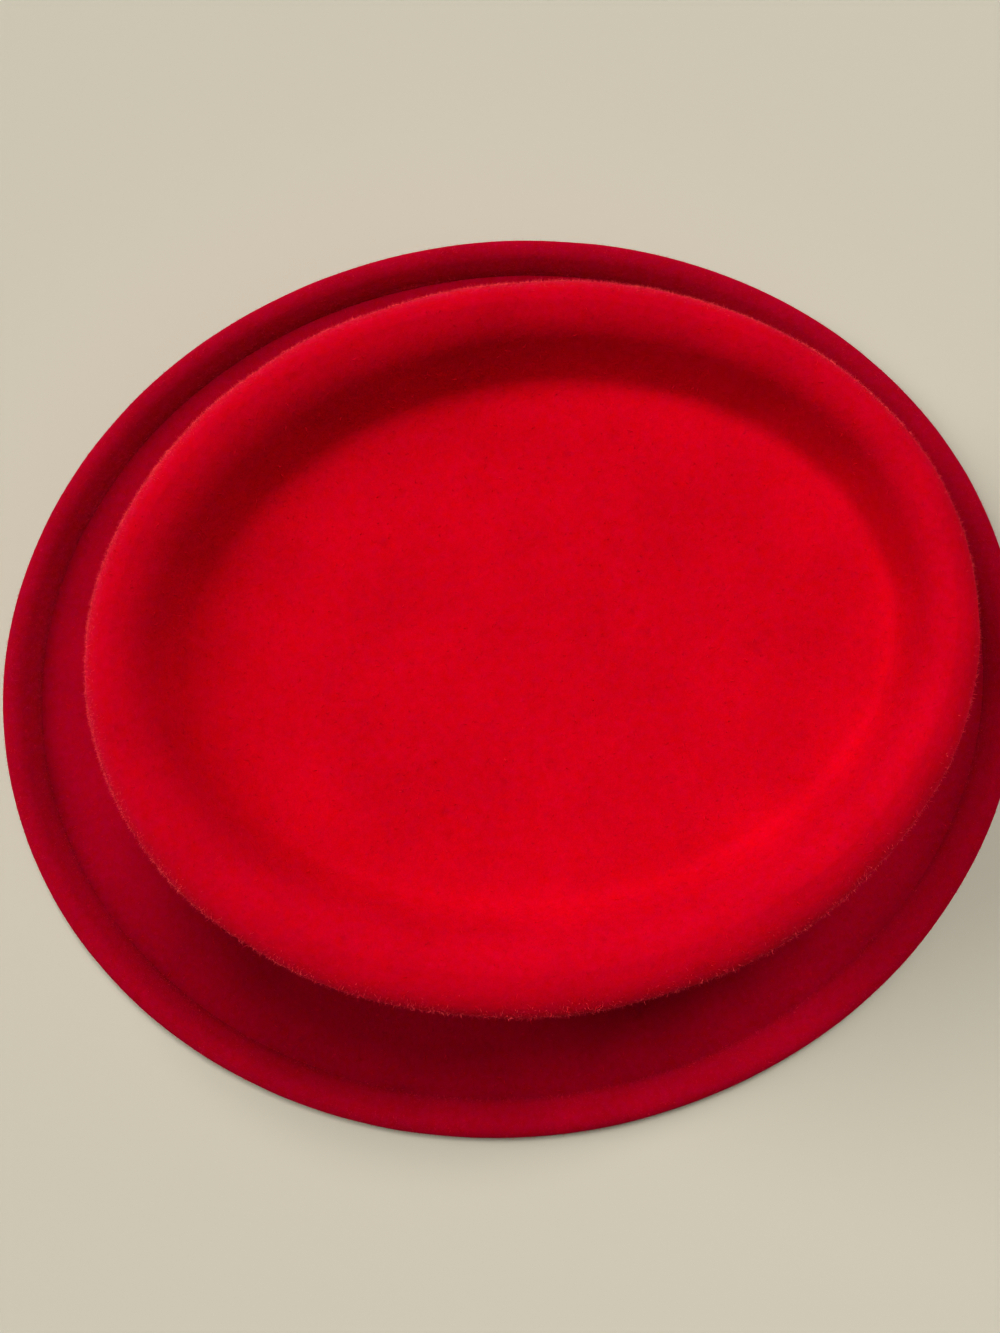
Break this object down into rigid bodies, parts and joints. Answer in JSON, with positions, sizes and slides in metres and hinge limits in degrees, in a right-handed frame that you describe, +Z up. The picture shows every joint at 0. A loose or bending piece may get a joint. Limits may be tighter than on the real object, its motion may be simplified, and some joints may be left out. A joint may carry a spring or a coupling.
{
  "type": "pork pie hat",
  "caption": "Felt pork pie hat: oval crown with a flat sunken top inside a rounded rim, leaning wall, short flat brim and an edge rolled up and over inwards.",
  "frame": {"origin": "under the middle of the brim, on the surface that the hat lies on", "axes": "+Z up through the crown, +X along the hat's long way towards the end taken as the front, +Y across it"},
  "size_m": [0.291, 0.2576, 0.091],
  "materials": {
    "red_wool_felt": "matt wool felt with a short nap"
  },
  "bodies": {
    "root": {"felt_body": "red_wool_felt"}
  },
  "joints": []
}
